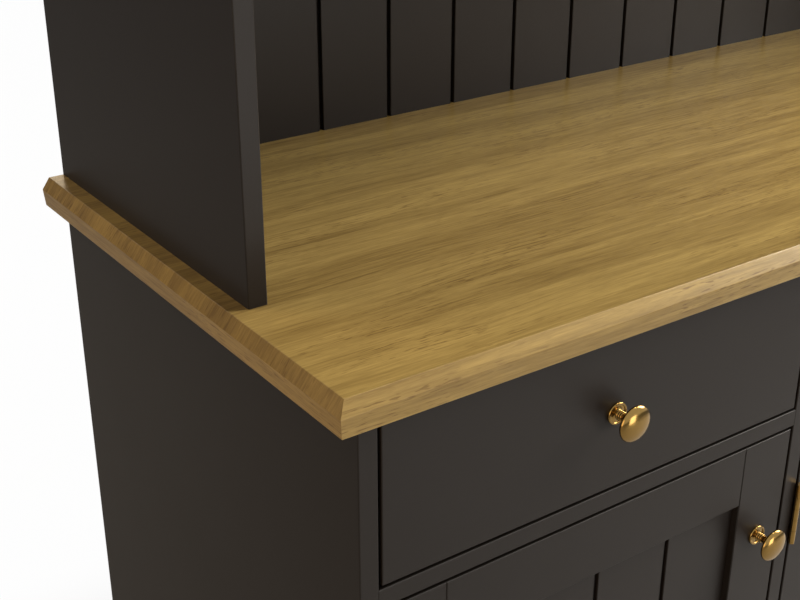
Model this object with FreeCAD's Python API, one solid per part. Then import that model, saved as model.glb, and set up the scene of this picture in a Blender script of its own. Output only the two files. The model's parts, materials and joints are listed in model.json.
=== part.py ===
import FreeCAD
import Part
import math
import os

# Tall sideboard: a three-bay cupboard base, each bay with a drawer over a framed door, an oak worktop,
# and an open hutch with shelves and a tongue-and-groove back standing on the worktop.
# Millimetres. +X is to the right, -Y faces the front and +Z is up from the floor.
# The origin is on the floor, under the middle of the whole object's box.

# Panels and clearances
BOARD = 16.0  # thickness of the painted panels
REVEAL = 2.8  # gap round each inset drawer front and door
EASE = 1.0  # radius on the painted arrises that show
SLIP = 0.1  # clearance of a fixed piece in its groove, housing or hole
HOUSING = 5.0  # depth of the housings that hold panels and shelves
HOUSING_STOP = 12.0  # a housing stops this far behind the panel's front edge
SEAT = 0.05  # gap over a round pin that carries a flat piece

# Base cupboard
BAYS = ("left", "middle", "right")
BAY_WIDTH = 440.0  # clear width of one bay
CARCASS_DEPTH = 488.0  # front edge to back edge of a base side
BASE_HEIGHT = 844.0  # floor to the underside of the worktop
PLINTH_HEIGHT = 80.0  # floor to the underside of the bottom panel
PLINTH_SETBACK = 3.0
BACK_PANEL = 6.0
BACK_PANEL_INSET = 12.0  # back of the sides to the back of the panel
BACK_GROOVE = 8.0
STRETCHER_WIDTH = 70.0
STRETCHER_CLEAR = 4.0  # drawer front to the front stretcher
WORKTOP_SCREW_INSET = 70.0  # side of a bay to the screws in a stretcher
DRAWER_RAIL_DEPTH = 80.0

# Floor glides
GLIDE_RADIUS = 7.0
GLIDE_HEIGHT = 4.0
GLIDE_PIN_RADIUS = 1.8
GLIDE_PIN_LENGTH = 14.0
GLIDE_INSET = 40.0

# Worktop
WORKTOP_THICKNESS = 26.0
FRONT_OVERHANG = 13.4
SIDE_OVERHANG = 21.0
BEVEL_WIDTH = 7.2  # the top arris lies this far inside the outermost edge
BEVEL_HEIGHT = 10.1
UNDERCUT = 1.7  # the underside arris lies this far inside the outermost edge
WORKTOP_EASE = 0.9

# Cupboard shelves on pins
SHELF_HEIGHT = 270.0  # bottom panel to the underside of the shelf
SHELF_GAP = 1.0
SHELF_FRONT_GAP = 24.0  # back of the door to the shelf
SHELF_PIN_RADIUS = 2.5
SHELF_PIN_REACH = 9.0
SHELF_PIN_DEPTH = 6.0
SHELF_PIN_INSET = 50.0
PIN_HOLE_PITCH = 32.0

# Drawers
DRAWER_FRONT_HEIGHT = 135.9
DRAWER_FRONT = 18.0
BOX_GAP = 4.0  # carcass to the side of the drawer box
BOX_SIDE = 14.0
BOX_LIFT = 6.0  # drawer rail to the box
BOX_HEADROOM = 14.0  # box to the stretchers
BOX_REAR_GAP = 27.0  # box to the back panel
BOX_BOTTOM = 5.0
BOX_BOTTOM_RAISE = 9.0
BOX_GROOVE = 6.0
RUNNER_HEIGHT = 16.0
RUNNER_GROOVE = 7.0
RUNNER_SETBACK = 22.0  # drawer front to the runner
RUN = 0.3  # running clearance round a runner

# Doors
DOOR_THICKNESS = 20.0
STILE_WIDTH = 57.0
DOOR_RAIL_HEIGHT = 58.5
PANEL_RECESS = 7.3
PANEL_THICKNESS = 8.0
FRAME_GROOVE = 8.0
GROOVE_END_GAP = 1.0  # room left at the bottom of the frame groove
JOINT_BEVEL = 0.8  # bevel each side of the line between stile and rail
DOOR_BOARDS = 4
DOOR_KNOB_DROP = 100.0  # top of the door to the knob

# Tongue-and-groove boards
BOARD_GAP = 4.5  # width of the groove that shows between two boards
TONGUE = 4.0  # how far a tongue enters the next board
LIP_SHARE = 0.42  # part of the thickness in front of the tongue
TONGUE_SHARE = 0.28  # part of the thickness that the tongue takes
BOARD_BEVEL = 0.5
LEAST_BOARD = 20.0  # no board is ripped narrower than this

# Brass knobs
KNOB_STANDOFF = 20.0  # face to the widest part of the head
KNOB_DOME = 5.2  # widest part of the head to its crown
HEAD_RADIUS = 15.5
HEAD_RIM = 1.6  # radius of the rolled rim
ROSE_RADIUS = 9.3
ROSE_HEIGHT = 2.6
ROSE_LIP = 1.7
STEM_RADIUS = 3.3
STEM_RINGS = 3
RING_PITCH = 2.0
RING_RADIUS = 1.0
KNOB_BORE_DEPTH = 11.0
KNOB_BORE_GAP = 1.5  # room left past the end of the screw

# Butt hinges
HINGE_HEIGHT = 60.0
HINGE_INSET = 65.0  # end of the door to the hinge
LEAF_WIDTH = 16.0
LEAF_GAP = 0.4  # between the two leaves of a closed hinge
KNUCKLES = 5
KNUCKLE_RADIUS = 3.0
KNUCKLE_GAP = 0.2
HINGE_PIN_RADIUS = 1.5
HINGE_PIN_CLEAR = 0.05
FINIAL_HEIGHT = 2.0
HINGE_SCREWS = 3

# Magnet catches
CATCH_LENGTH = 46.0
CATCH_DEPTH = 15.0
CATCH_HEIGHT = 13.0
CATCH_INSET = 10.0  # edge of the door to the catch
CATCH_GAP = 0.3
STRIKE_THICKNESS = 1.2
STRIKE_HEIGHT = 14.0
STRIKE_DROP = 2.0

# Hutch
HUTCH_HEIGHT = 1010.0  # worktop to the top of the hutch sides
HUTCH_DEPTH = 346.0
HUTCH_PITCH = 81.44  # from one groove of the back to the next
HUTCH_BOARD = 12.0
HUTCH_SHELF = 22.0
HUTCH_SHELF_SETBACK = 14.0
LOWER_NICHE = 420.0
UPPER_NICHE = 250.0
TOP_DROP = 40.0  # top of the sides to the top panel
FASCIA_HEIGHT = 92.0
BACK_RAIL_HEIGHT = 60.0
BACK_RAILS = 3
CORNICE_HEIGHT = 62.0
CORNICE_REACH = 36.0
CORNICE_RISE = 8.0  # cornice above the top of the sides
CORNICE_FOOT = 7.0  # thickness of the cornice's lower bead
CORNICE_BEAD = 10.0  # height of the lower bead and of the crown
DOWEL_RADIUS = 4.0
DOWEL_LENGTH = 30.0
DOWEL_INSET = 60.0

# Steel plates and brackets at the back
PLATE = 2.0
PLATE_WIDTH = 60.0
PLATE_HEIGHT = 56.0
PLATE_LAP = 20.0  # how far a joining plate reaches down the worktop's back edge
PLATE_INSET = 140.0  # hutch side to the middle of a plate
PLATE_EDGE = 9.0  # edge of a plate or bracket to its screws
PLATE_CORNER = 4.0  # radius of a plate's or a bracket's corners
BRACKET_WIDTH = 22.0
BRACKET_LEG = 32.0
WALL_HOLE_RADIUS = 2.75
WALL_HOLE_RISE = 20.0
BRACKET_INSET = 120.0

# Screws
SCREW_HEAD_RADIUS = 4.0  # radius of the larger pan head
SCREW_HEAD_HEIGHT = 2.4
SCREW_SHANK = 2.0
WORKTOP_BITE = 12.0  # how far a screw enters the worktop
SMALL_HEAD_RADIUS = 3.4
SMALL_HEAD_HEIGHT = 1.8
SMALL_SHANK = 1.7
SMALL_BITE = 11.0
HINGE_HEAD_RADIUS = 2.5  # radius of a countersunk head
HINGE_SHANK = 1.4
HINGE_BITE = 11.0
SHANK_CLEAR = 0.4  # clearance of a shank in the first piece that it passes
HEAD_ROUND = 0.7  # radius round the top of a pan head
RECESS_WIDTH = 0.9  # width of the slots that a driver fits
RECESS_SHARE = 0.6  # length of a slot, and depth in a pan head, as parts of the head's own

# Widths
CARCASS_WIDTH = len(BAYS) * BAY_WIDTH + (len(BAYS) + 1) * BOARD
HALF = CARCASS_WIDTH / 2
INNER = HALF - BOARD
BAY = (-INNER, -INNER + BAY_WIDTH)  # the left bay
BAY_STEP = BAY_WIDTH + BOARD  # from one bay to the next
BAY_MIDDLE = (BAY[0] + BAY[1]) / 2

# Depths
FRONT_REACH = max(KNOB_STANDOFF + KNOB_DOME, FRONT_OVERHANG)
REAR_REACH = PLATE + SMALL_HEAD_HEIGHT
FRONT = FRONT_REACH - (FRONT_REACH + CARCASS_DEPTH + REAR_REACH) / 2
BACK = FRONT + CARCASS_DEPTH
PANEL_BACK = BACK - BACK_PANEL_INSET
INNER_BACK = PANEL_BACK - BACK_PANEL
HUTCH_FRONT = BACK - HUTCH_DEPTH
BOARD_FACE = BACK - BOARD - HUTCH_BOARD
DRAWER_BACK = FRONT + DRAWER_FRONT
DOOR_BACK = FRONT + DOOR_THICKNESS
PLINTHS_Y = ((FRONT + PLINTH_SETBACK, FRONT + PLINTH_SETBACK + BOARD), (INNER_BACK - BOARD, INNER_BACK))

# Heights
BOTTOM_TOP = PLINTH_HEIGHT + BOARD
DRAWER_Z = (BASE_HEIGHT - REVEAL - DRAWER_FRONT_HEIGHT, BASE_HEIGHT - REVEAL)
RAIL_Z = (DRAWER_Z[0] - REVEAL - BOARD, DRAWER_Z[0] - REVEAL)
DOOR_Z = (BOTTOM_TOP + REVEAL, RAIL_Z[0] - REVEAL)
STRETCHER_Z = (BASE_HEIGHT - BOARD, BASE_HEIGHT)
BOX_Z = (RAIL_Z[1] + BOX_LIFT, STRETCHER_Z[0] - BOX_HEADROOM)
SHELF_Z = (BOTTOM_TOP + SHELF_HEIGHT, BOTTOM_TOP + SHELF_HEIGHT + BOARD)
WORKTOP_TOP = BASE_HEIGHT + WORKTOP_THICKNESS
HUTCH_TOP = WORKTOP_TOP + HUTCH_HEIGHT
LOWER_SHELF_Z = (WORKTOP_TOP + LOWER_NICHE, WORKTOP_TOP + LOWER_NICHE + HUTCH_SHELF)
UPPER_SHELF_Z = (LOWER_SHELF_Z[1] + UPPER_NICHE, LOWER_SHELF_Z[1] + UPPER_NICHE + HUTCH_SHELF)
TOP_Z = (HUTCH_TOP - TOP_DROP - BOARD, HUTCH_TOP - TOP_DROP)

V = FreeCAD.Vector
UP = V(0, 0, 1)
AHEAD = V(0, -1, 0)
RIGHT = V(1, 0, 0)


# Shapes that the pieces are made of

def block(xs, ys, zs):
    """A box between two values of each coordinate."""
    return Part.makeBox(xs[1] - xs[0], ys[1] - ys[0], zs[1] - zs[0], V(xs[0], ys[0], zs[0]))


def prism(corners, along):
    """A flat outline of corners, extruded along a vector."""
    points = [V(*corner) for corner in corners]
    return Part.Face(Part.makePolygon(points + points[:1])).extrude(along)


def rod(radius, start, along, length):
    """A round bar from a point, along a unit vector."""
    return Part.makeCylinder(radius, length, start, along)


def edges_on(shape, x=None, y=None, z=None):
    """The straight edges that lie on each of the given planes."""
    near = 0.001
    found = []
    for edge in shape.Edges:
        box = edge.BoundBox
        spans = ((x, box.XMin, box.XMax), (y, box.YMin, box.YMax), (z, box.ZMin, box.ZMax))
        if all(at is None or (abs(low - at) < near and abs(high - at) < near) for at, low, high in spans):
            found.append(edge)
    return found


def eased(shape, *places, radius=EASE):
    """The shape with the edges at the given places rounded."""
    edges = [edge for place in places for edge in edges_on(shape, **place)]
    return shape.makeFillet(radius, edges)


def mirrored(shape, x=0.0):
    """The shape reflected in the upright plane at x."""
    return shape.mirror(V(x, 0, 0), RIGHT)


def both_sides(shapes, x=0.0):
    """The shapes, and the shapes reflected in the upright plane at x."""
    return shapes + [mirrored(shape, x) for shape in shapes]


def set_in(bay, shape):
    """A shape of the left bay, set in one of the bays. The right bay mirrors the left one."""
    if bay == BAYS[-1]:
        return mirrored(shape)
    return shape.translated(RIGHT * (BAY_STEP * BAYS.index(bay)))


def in_bays(shapes):
    """The shapes of the left bay, set in every bay."""
    return [set_in(bay, shape) for bay in BAYS for shape in shapes]


def slot(face, into, reach, depth, turn):
    """A straight slot sunk into a screw's head from its face, turned about the screw."""
    half = RECESS_WIDTH / 2
    shape = block((-reach, reach), (-half, half), (0, depth))
    shape.rotate(V(0, 0, 0), UP, turn)
    shape.Placement = FreeCAD.Placement(face, FreeCAD.Rotation(UP, into)).multiply(shape.Placement)
    return shape


def pan_head(seat, into, radius, height):
    """A low round head on its seat, with a cross that a driver fits."""
    head = rod(radius, seat, -into, height)
    face = seat - into * height
    rims = [edge for edge in head.Edges if (edge.BoundBox.Center - face).Length < height / 2]
    head = head.makeFillet(HEAD_ROUND, rims)
    reach = RECESS_SHARE * radius
    return head.cut([slot(face, into, reach, RECESS_SHARE * height, turn) for turn in (0, 90)])


def pan_screw(seat, into, length, clear=0.0):
    """A screw whose head stands on its seat. A clearance makes it the hole for its shank."""
    shank = rod(SCREW_SHANK + clear, seat, into, length + clear)
    if clear:
        return shank
    return shank.fuse(pan_head(seat, into, SCREW_HEAD_RADIUS, SCREW_HEAD_HEIGHT)).removeSplitter()


def small_screw(seat, into, clear=0.0):
    """A small screw that holds a steel plate. A clearance makes it the hole for its shank."""
    shank = rod(SMALL_SHANK + clear, seat, into, PLATE + SMALL_BITE + clear)
    if clear:
        return shank
    return shank.fuse(pan_head(seat, into, SMALL_HEAD_RADIUS, SMALL_HEAD_HEIGHT)).removeSplitter()


def hinge_screw(seat, into, clear=0.0):
    """A slotted countersunk screw, flush with its leaf. A clearance makes it its own hole."""
    head = Part.makeCone(HINGE_HEAD_RADIUS + clear, HINGE_SHANK + clear, LEAF, seat, into)
    shank = rod(HINGE_SHANK + clear, seat + into * LEAF, into, HINGE_BITE + clear)
    screw = head.fuse(shank).removeSplitter()
    if clear:
        return screw
    return screw.cut(slot(seat, into, HINGE_HEAD_RADIUS, LEAF / 2, 90))


def housed(ys, zs):
    """A panel across the inside, let into a housing in each side. Its front corners stop short."""
    panel = block((-INNER, INNER), ys, zs)
    tongues = block((-INNER - HOUSING, INNER + HOUSING), (ys[0] + HOUSING_STOP, ys[1]), zs)
    return panel.fuse(tongues).removeSplitter()


def housing(ys, zs):
    """The cut in the left side that takes the end of a housed panel."""
    return block((-INNER - HOUSING - SLIP, -INNER), (ys[0] + HOUSING_STOP - SLIP, ys[1] + SLIP), zs)


def boarding(xs, zs, face, thickness, pitch, tuck):
    """Upright tongue-and-groove boards, the last one ripped to fit. Their outer edges tuck in past xs."""
    count = math.ceil((xs[1] - xs[0] - LEAST_BOARD) / pitch)
    lip = face + LIP_SHARE * thickness
    heel = lip + TONGUE_SHARE * thickness
    back = face + thickness
    boards = []
    for place in range(count):
        first = place == 0
        last = place == count - 1
        left = xs[0] - tuck if first else xs[0] + place * pitch + BOARD_GAP / 2
        right = xs[1] + tuck if last else xs[0] + (place + 1) * pitch - BOARD_GAP / 2
        outline = [(left, face + BOARD_BEVEL), (left + BOARD_BEVEL, face)]
        outline += [(right - BOARD_BEVEL, face), (right, face + BOARD_BEVEL)]
        if not last:
            floor = right - TONGUE - SLIP
            outline += [(right, lip), (floor, lip), (floor, heel + 2 * SLIP), (right, heel + 2 * SLIP)]
        outline += [(right, back)]
        if first:
            outline += [(left, back)]
        else:
            shoulder = left - BOARD_GAP + SLIP
            tip = left - BOARD_GAP - TONGUE
            outline += [(shoulder, back), (shoulder, heel + SLIP), (tip, heel + SLIP)]
            outline += [(tip, lip + SLIP), (left, lip + SLIP)]
        boards.append(prism([(x, y, zs[0]) for x, y in outline], UP * (zs[1] - zs[0])))
    return boards


# Base cupboard

def pin_places():
    """Where the shelf pins of one face go: front and back places, and the heights of their holes."""
    ys = (DOOR_BACK + SHELF_FRONT_GAP + SHELF_PIN_INSET, INNER_BACK - SHELF_PIN_INSET)
    carrying = SHELF_Z[0] - SHELF_PIN_RADIUS - SEAT
    return ys, (carrying, carrying - PIN_HOLE_PITCH, carrying + PIN_HOLE_PITCH)


def pin_holes():
    """The holes for the shelf pins in the two faces of the left bay."""
    ys, heights = pin_places()
    depth = SHELF_PIN_DEPTH + SLIP
    holes = [rod(SHELF_PIN_RADIUS + SLIP, V(BAY[0], y, z), -RIGHT, depth) for y in ys for z in heights]
    return both_sides(holes, BAY_MIDDLE)


def shelf_pins():
    ys, heights = pin_places()
    length = SHELF_PIN_DEPTH + SHELF_PIN_REACH
    pins = [rod(SHELF_PIN_RADIUS, V(BAY[0] - SHELF_PIN_DEPTH, y, heights[0]), RIGHT, length) for y in ys]
    return in_bays(both_sides(pins, BAY_MIDDLE))


def cupboard_shelf():
    xs = (BAY[0] + SHELF_GAP, BAY[1] - SHELF_GAP)
    shelf = block(xs, (DOOR_BACK + SHELF_FRONT_GAP, INNER_BACK - SHELF_GAP), SHELF_Z)
    front = DOOR_BACK + SHELF_FRONT_GAP
    return eased(shelf, {"y": front, "z": SHELF_Z[0]}, {"y": front, "z": SHELF_Z[1]})


def glide_places():
    """Under the left side, and under both plinth boards below the left divider."""
    sides = [(-HALF + BOARD / 2, y) for y in (FRONT + GLIDE_INSET, BACK - GLIDE_INSET)]
    return sides + [(BAY[1] + BOARD / 2, (ys[0] + ys[1]) / 2) for ys in PLINTHS_Y]


def glide(place):
    """A round foot on a pin, pressed into the board above it."""
    x, y = place
    foot = rod(GLIDE_RADIUS, V(x, y, 0), UP, GLIDE_HEIGHT)
    pin = rod(GLIDE_PIN_RADIUS, V(x, y, GLIDE_HEIGHT), UP, GLIDE_PIN_LENGTH)
    return foot.fuse(pin).removeSplitter()


def glide_holes():
    depth = GLIDE_PIN_LENGTH + SLIP
    radius = GLIDE_PIN_RADIUS + SLIP
    return both_sides([rod(radius, V(x, y, GLIDE_HEIGHT), UP, depth) for x, y in glide_places()])


def base_side():
    side = block((-HALF, -INNER), (FRONT, BACK), (GLIDE_HEIGHT, BASE_HEIGHT))
    side = eased(side, {"x": -HALF, "y": FRONT}, {"x": -INNER, "y": FRONT})
    groove_y = (INNER_BACK - SLIP, PANEL_BACK + SLIP)
    groove = block((-INNER - BACK_GROOVE, -INNER), groove_y, (PLINTH_HEIGHT, BASE_HEIGHT))
    bottom = housing((FRONT, INNER_BACK), (PLINTH_HEIGHT, BOTTOM_TOP))
    return side.cut([groove, bottom] + pin_holes() + glide_holes() + frame_leaf_screws(SLIP))


def base_bottom():
    bottom = housed((FRONT, INNER_BACK), (PLINTH_HEIGHT, BOTTOM_TOP))
    return eased(bottom, {"y": FRONT, "z": PLINTH_HEIGHT}, {"y": FRONT, "z": BOTTOM_TOP})


def base_back_panel():
    reach = INNER + BACK_GROOVE - SLIP
    return block((-reach, reach), (INNER_BACK, PANEL_BACK), (PLINTH_HEIGHT, BASE_HEIGHT))


def stretchers():
    """The boards under the worktop, behind the drawer fronts and against the back panel."""
    front = DRAWER_BACK + STRETCHER_CLEAR
    spans = ((front, front + STRETCHER_WIDTH), (INNER_BACK - STRETCHER_WIDTH, INNER_BACK))
    return [block((-INNER, INNER), ys, STRETCHER_Z) for ys in spans]


def dividers():
    """The uprights between the bays, notched at the top for the stretchers."""
    xs = (BAY[1], BAY[1] + BOARD)
    upright = block(xs, (FRONT, INNER_BACK), (BOTTOM_TOP, BASE_HEIGHT))
    upright = eased(upright, {"x": xs[0], "y": FRONT}, {"x": xs[1], "y": FRONT})
    cuts = stretchers() + in_bays(pin_holes() + frame_leaf_screws(SLIP))
    return [divider.cut(cuts) for divider in both_sides([upright])]


def drawer_rail():
    rail = block(BAY, (FRONT, FRONT + DRAWER_RAIL_DEPTH), RAIL_Z)
    return eased(rail, {"y": FRONT, "z": RAIL_Z[0]}, {"y": FRONT, "z": RAIL_Z[1]})


def plinth_boards():
    """The boards under the bottom panel: one a little behind its front edge, one along its back."""
    front, rear = [block((-INNER, INNER), ys, (GLIDE_HEIGHT, PLINTH_HEIGHT)) for ys in PLINTHS_Y]
    front = eased(front, {"y": PLINTHS_Y[0][0], "z": GLIDE_HEIGHT})
    return [board.cut(glide_holes()) for board in (front, rear)]


def worktop_screws(clear=0.0):
    """The screws that come up through the stretchers into the worktop."""
    ys = [board.BoundBox.Center.y for board in stretchers()]
    xs = (BAY[0] + WORKTOP_SCREW_INSET, BAY[1] - WORKTOP_SCREW_INSET)
    places = [V(x, y, STRETCHER_Z[0]) for x in xs for y in ys]
    return in_bays([pan_screw(place, UP, BOARD + WORKTOP_BITE, clear) for place in places])


def worktop():
    """An oak slab: a long upper bevel and a slight undercut run along the front and both ends."""
    half = HALF + SIDE_OVERHANG
    front = FRONT - FRONT_OVERHANG
    low, high = BASE_HEIGHT, WORKTOP_TOP
    middle = WORKTOP_TOP - BEVEL_HEIGHT
    section = [(BACK, low), (front + UNDERCUT, low), (front, middle)]
    section += [(front + BEVEL_WIDTH, high), (BACK, high)]
    length = prism([(-half, y, z) for y, z in section], RIGHT * (2 * half))
    right = [(half - UNDERCUT, low), (half, middle), (half - BEVEL_WIDTH, high)]
    ends = right + [(-x, z) for x, z in reversed(right)]
    across = prism([(x, BACK, z) for x, z in ends], AHEAD * (BACK - front))
    slab = length.common(across).removeSplitter()
    arrises = [{"y": front + BEVEL_WIDTH, "z": high}, {"y": front, "z": middle}]
    arrises += [{"y": front + UNDERCUT, "z": low}]
    for side in (-1, 1):
        arrises += [{"x": side * (half - BEVEL_WIDTH), "z": high}, {"x": side * half, "z": middle}]
        arrises += [{"x": side * (half - UNDERCUT), "z": low}]
    slab = eased(slab, *arrises, radius=WORKTOP_EASE)
    return slab.cut(worktop_screws(SLIP) + both_sides(dowel_holes(-UP)) + joining_screws(SLIP))


# Butt hinges, shown on the left door

HINGE_AXIS = (BAY[0] + REVEAL / 2, FRONT - KNUCKLE_RADIUS - KNUCKLE_GAP)
LEAF = (REVEAL - LEAF_GAP) / 2
FRAME_LEAF_X = (BAY[0], BAY[0] + LEAF)
DOOR_LEAF_X = (BAY[0] + REVEAL - LEAF, BAY[0] + REVEAL)
HINGES_Z = (DOOR_Z[0] + HINGE_INSET, DOOR_Z[1] - HINGE_INSET - HINGE_HEIGHT)


def leaf_screws(x, into, clear):
    """The countersunk screws of one leaf on each hinge."""
    step = HINGE_HEIGHT / HINGE_SCREWS
    y = FRONT + LEAF_WIDTH / 2
    seats = [V(x, y, low + (place + 0.5) * step) for low in HINGES_Z for place in range(HINGE_SCREWS)]
    return [hinge_screw(seat, into, clear) for seat in seats]


def frame_leaf_screws(clear=0.0):
    return leaf_screws(FRAME_LEAF_X[1], -RIGHT, clear)


def door_leaf_screws(clear=0.0):
    return leaf_screws(DOOR_LEAF_X[0], RIGHT, clear)


def leaf(xs, low, own):
    """One leaf: a plate in the gap beside the door, and its own knuckles round the pin."""
    height = HINGE_HEIGHT / KNUCKLES
    centre = V(HINGE_AXIS[0], HINGE_AXIS[1], low)
    shape = block(xs, (FRONT, FRONT + LEAF_WIDTH), (low, low + HINGE_HEIGHT))
    for knuckle in own:
        zs = (low + knuckle * height + KNUCKLE_GAP / 2, low + (knuckle + 1) * height - KNUCKLE_GAP / 2)
        strap = block(xs, (HINGE_AXIS[1], FRONT), zs)
        barrel = rod(KNUCKLE_RADIUS, V(centre.x, centre.y, zs[0]), UP, zs[1] - zs[0])
        shape = shape.fuse([strap, barrel])
    bore = rod(HINGE_PIN_RADIUS + HINGE_PIN_CLEAR, centre, UP, HINGE_HEIGHT)
    return shape.cut(bore).removeSplitter()


def frame_leaves():
    """The leaves on the base side, their screws, and the pins that they hold."""
    leaves = [leaf(FRAME_LEAF_X, low, range(0, KNUCKLES, 2)) for low in HINGES_Z]
    holes = frame_leaf_screws(SLIP)
    pins = []
    for low in HINGES_Z:
        foot = V(HINGE_AXIS[0], HINGE_AXIS[1], low)
        pin = rod(HINGE_PIN_RADIUS, foot, UP, HINGE_HEIGHT)
        below = rod(KNUCKLE_RADIUS, foot, -UP, FINIAL_HEIGHT)
        above = rod(KNUCKLE_RADIUS, foot + UP * HINGE_HEIGHT, UP, FINIAL_HEIGHT)
        pins.append(pin.fuse([below, above]).removeSplitter())
    return [plate.cut(holes) for plate in leaves] + pins + frame_leaf_screws()


def door_leaves():
    leaves = [leaf(DOOR_LEAF_X, low, range(1, KNUCKLES, 2)) for low in HINGES_Z]
    holes = door_leaf_screws(SLIP)
    return [plate.cut(holes) for plate in leaves] + door_leaf_screws()


# Knobs

def knob_profile():
    """Half the outline of a knob, as radius and height above the face: rose, ringed stem and head."""
    dish = ROSE_RADIUS - ROSE_LIP
    rings_low = ROSE_HEIGHT
    rings_high = rings_low + STEM_RINGS * RING_PITCH
    rim = HEAD_RADIUS - HEAD_RIM
    under = KNOB_STANDOFF - HEAD_RIM
    edges = [Part.LineSegment(V(0, 0, 0), V(ROSE_RADIUS, 0, 0))]
    edges += [Part.LineSegment(V(ROSE_RADIUS, 0, 0), V(ROSE_RADIUS, 0, ROSE_LIP / 2))]
    lip_top = V((ROSE_RADIUS + dish) / 2, 0, ROSE_LIP)
    edges += [Part.Arc(V(ROSE_RADIUS, 0, ROSE_LIP / 2), lip_top, V(dish, 0, ROSE_LIP / 2))]
    edges += [Part.LineSegment(V(dish, 0, ROSE_LIP / 2), V(STEM_RADIUS, 0, rings_low))]
    for ring in range(STEM_RINGS):
        low = rings_low + ring * RING_PITCH
        middle = V(STEM_RADIUS + RING_RADIUS, 0, low + RING_PITCH / 2)
        edges += [Part.Arc(V(STEM_RADIUS, 0, low), middle, V(STEM_RADIUS, 0, low + RING_PITCH))]
    flare = V((STEM_RADIUS * 2 + rim) / 3, 0, (rings_high + under * 2) / 3)
    edges += [Part.Arc(V(STEM_RADIUS, 0, rings_high), flare, V(rim, 0, under))]
    over = V(rim, 0, KNOB_STANDOFF + HEAD_RIM)
    edges += [Part.Arc(V(rim, 0, under), V(HEAD_RADIUS, 0, KNOB_STANDOFF), over)]
    crown = V(0, 0, KNOB_STANDOFF + KNOB_DOME)
    rise = KNOB_DOME - HEAD_RIM
    sphere = (rim ** 2 + rise ** 2) / (2 * rise)
    half_angle = math.asin(rim / sphere) / 2
    brow = V(sphere * math.sin(half_angle), 0, crown.z - sphere * (1 - math.cos(half_angle)))
    edges += [Part.Arc(over, brow, crown)]
    edges += [Part.LineSegment(crown, V(0, 0, 0))]
    return Part.Wire([edge.toShape() for edge in edges])


def knob(x, z):
    """A turned brass knob on the front plane, bored for its screw."""
    turned = Part.Face(knob_profile()).revolve(V(0, 0, 0), UP, 360)
    turned = turned.cut(rod(SCREW_SHANK + SLIP, V(0, 0, 0), UP, KNOB_BORE_DEPTH))
    turned.rotate(V(0, 0, 0), RIGHT, 90)
    turned.translate(V(x, FRONT, z))
    return turned


def knob_screw(x, z, thickness, clear=0.0):
    """The screw that comes through a front from behind and holds its knob."""
    length = thickness + KNOB_BORE_DEPTH - KNOB_BORE_GAP
    return pan_screw(V(x, FRONT + thickness, z), AHEAD, length, clear)


# Left drawer

BOX_X = (BAY[0] + BOX_GAP, BAY[1] - BOX_GAP)
BOX_BACK = INNER_BACK - BOX_REAR_GAP
BOX_BOTTOM_Z = (BOX_Z[0] + BOX_BOTTOM_RAISE, BOX_Z[0] + BOX_BOTTOM_RAISE + BOX_BOTTOM)
RUNNER_Z = ((BOX_Z[0] + BOX_Z[1] - RUNNER_HEIGHT) / 2, (BOX_Z[0] + BOX_Z[1] + RUNNER_HEIGHT) / 2)
RUNNER_FRONT = DRAWER_BACK + RUNNER_SETBACK
DRAWER_KNOB_Z = (DRAWER_Z[0] + DRAWER_Z[1]) / 2


def drawer_runner():
    """A hardwood strip on the base side, which the groove in the drawer's side runs on."""
    xs = (BAY[0], BAY[0] + BOX_GAP + RUNNER_GROOVE - RUN)
    runner = block(xs, (RUNNER_FRONT, INNER_BACK), RUNNER_Z)
    return eased(runner, {"x": xs[1], "z": RUNNER_Z[0]}, {"x": xs[1], "z": RUNNER_Z[1]})


def drawer_front():
    xs = (BAY[0] + REVEAL, BAY[1] - REVEAL)
    front = eased(block(xs, (FRONT, DRAWER_BACK), DRAWER_Z), {"y": FRONT})
    groove_x = (BOX_X[0] + BOX_SIDE - BOX_GROOVE, BOX_X[1] - BOX_SIDE + BOX_GROOVE)
    groove = block(groove_x, (DRAWER_BACK - BOX_GROOVE, DRAWER_BACK), BOX_BOTTOM_Z)
    seat = block((BOX_X[0], BOX_X[0] + BOX_SIDE), (DRAWER_BACK - HOUSING, DRAWER_BACK), BOX_Z)
    hole = knob_screw(BAY_MIDDLE, DRAWER_KNOB_Z, DRAWER_FRONT, SHANK_CLEAR)
    return front.cut(both_sides([seat], BAY_MIDDLE) + [groove, hole])


def drawer_side():
    """The left side of the box: let into the front, grooved outside for its runner, inside for the bottom."""
    side = block((BOX_X[0], BOX_X[0] + BOX_SIDE), (DRAWER_BACK - HOUSING, BOX_BACK), BOX_Z)
    run_z = (RUNNER_Z[0] - RUN, RUNNER_Z[1] + RUN)
    run = block((BOX_X[0], BOX_X[0] + RUNNER_GROOVE), (RUNNER_FRONT - RUN, BOX_BACK), run_z)
    inside = BOX_X[0] + BOX_SIDE
    groove = block((inside - BOX_GROOVE, inside), (DRAWER_BACK - HOUSING, BOX_BACK), BOX_BOTTOM_Z)
    return side.cut([run, groove])


def drawer_box_back():
    xs = (BOX_X[0] + BOX_SIDE, BOX_X[1] - BOX_SIDE)
    return block(xs, (BOX_BACK - BOX_SIDE, BOX_BACK), (BOX_BOTTOM_Z[1], BOX_Z[1]))


def drawer_bottom():
    """The thin panel that slides in from behind, under the back of the box."""
    reach = BOX_SIDE - BOX_GROOVE + SLIP
    xs = (BOX_X[0] + reach, BOX_X[1] - reach)
    return block(xs, (DRAWER_BACK - BOX_GROOVE + SLIP, BOX_BACK), BOX_BOTTOM_Z)


# Left door

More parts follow.
